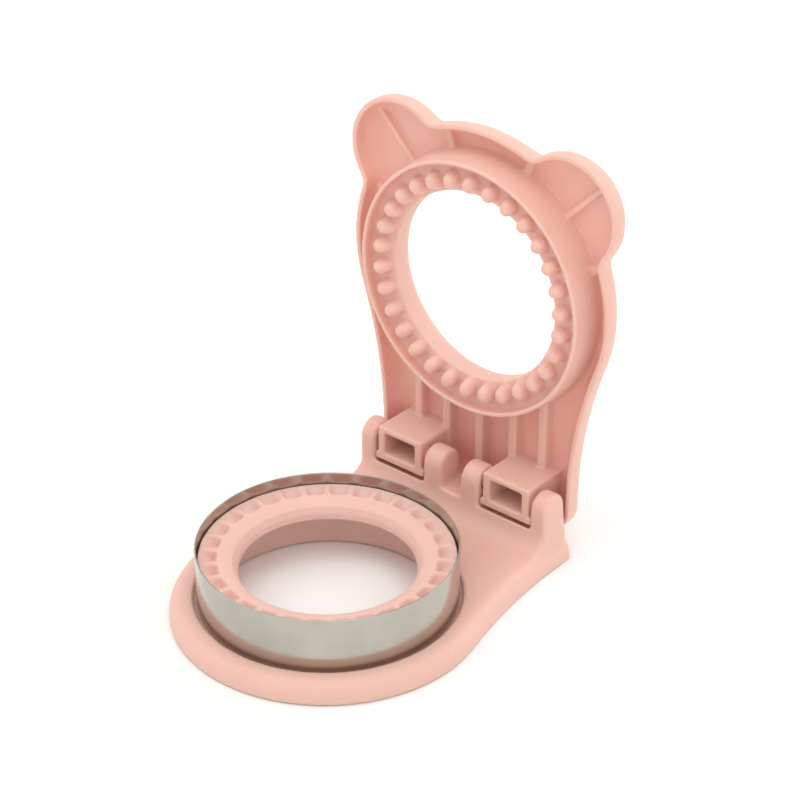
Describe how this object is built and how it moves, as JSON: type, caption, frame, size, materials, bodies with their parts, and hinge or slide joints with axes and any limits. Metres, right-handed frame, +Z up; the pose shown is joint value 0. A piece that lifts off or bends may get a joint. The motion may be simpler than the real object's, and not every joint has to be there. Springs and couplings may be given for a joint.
{
  "type": "dumpling press",
  "caption": "Hinged pink plastic dumpling press with a bear-eared lid, a crown of crimping teeth and a round steel cutter ring.",
  "frame": {"origin": "on the table, in the middle of the footprint of the open press", "axes": "+Z up; +X along the hinge; +Y from the cutter ring to the hinge, so the open lid stands on the +Y side"},
  "size_m": [0.1016, 0.1274, 0.1361],
  "materials": {
    "pink_plastic": "satin moulded plastic",
    "pale_pink_plastic": "satin moulded plastic",
    "polished_steel": "polished steel strip"
  },
  "bodies": {
    "press_base": {"base": "pink_plastic", "forming_ring": "pale_pink_plastic", "cutter_ring": "polished_steel"},
    "press_lid": {"lid": "pink_plastic"}
  },
  "joints": [
    {"name": "lid_hinge", "type": "hinge", "parent": "press_base", "child": "press_lid", "pos_m": [0, 0.04805, 0.0202], "axis": [1, 0, 0], "range_deg": [0, 90]}
  ]
}
